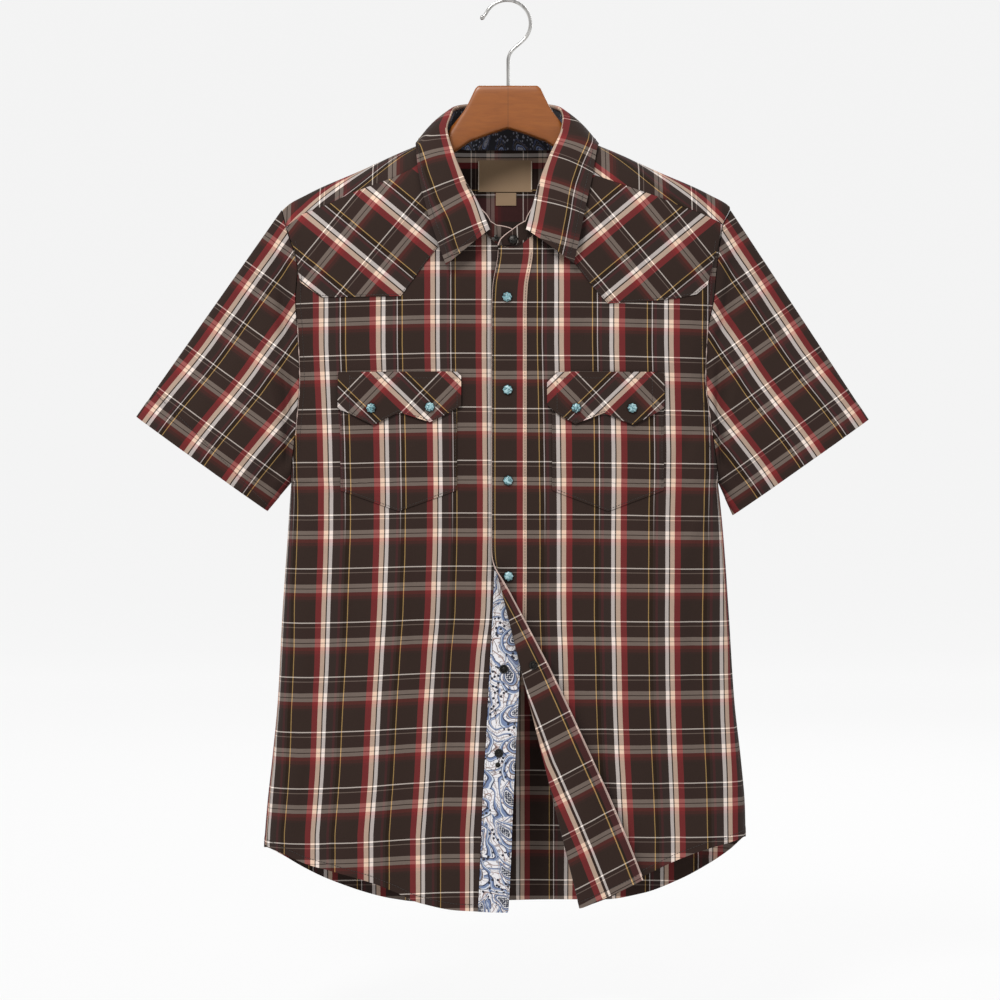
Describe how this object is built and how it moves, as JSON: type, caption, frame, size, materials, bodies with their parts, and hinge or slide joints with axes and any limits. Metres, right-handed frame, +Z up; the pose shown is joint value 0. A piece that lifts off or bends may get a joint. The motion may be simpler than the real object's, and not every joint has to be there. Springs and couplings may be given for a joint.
{
  "type": "western snap shirt on hanger",
  "caption": "Short-sleeved plaid western shirt with yokes, flap pockets and snaps, half open at the foot, hanging on a contoured wooden hanger with a wire hook.",
  "frame": {"origin": "inside of the hook's top, where it hangs on its rod", "axes": "+Z up, the shirt faces -Y, +X is the wearer's left"},
  "size_m": [0.7617, 0.1213, 0.9458],
  "materials": {
    "plaid": "woven cotton, dark brown plaid with cream, tan, red and yellow stripes",
    "paisley": "printed cotton, small paisley in white, blue and navy",
    "label": "woven, dark brown, bare",
    "snap_cap": "turquoise, polished",
    "snap_metal": "darkened",
    "wood": "varnished, orange brown",
    "wire": "bright"
  },
  "bodies": {
    "root": {"front_r": "plaid", "front_l": "plaid", "back": "plaid", "back_yoke": "plaid", "front_yoke_r": "plaid", "front_yoke_l": "plaid", "sleeve_r": "plaid", "sleeve_l": "plaid", "collar_fall": "plaid", "collar_stand": "plaid", "placket": "plaid", "facing": "paisley", "pocket_r": "plaid", "pocket_l": "plaid", "flap_r": "plaid", "flap_l": "plaid", "label": "label", "size_tab": "label", "snap_1": "snap_cap", "snap_2": "snap_cap", "snap_3": "snap_cap", "snap_4": "snap_cap", "snap_5": "snap_cap", "snap_6": "snap_cap", "snap_collar": "snap_cap", "flap_snap_r1": "snap_cap", "flap_snap_r2": "snap_cap", "flap_snap_l1": "snap_cap", "flap_snap_l2": "snap_cap", "snap_back": "snap_metal", "stud_1": "snap_metal", "stud_2": "snap_metal", "stud_collar": "snap_metal", "hanger": "wood", "hook": "wire"}
  },
  "joints": []
}
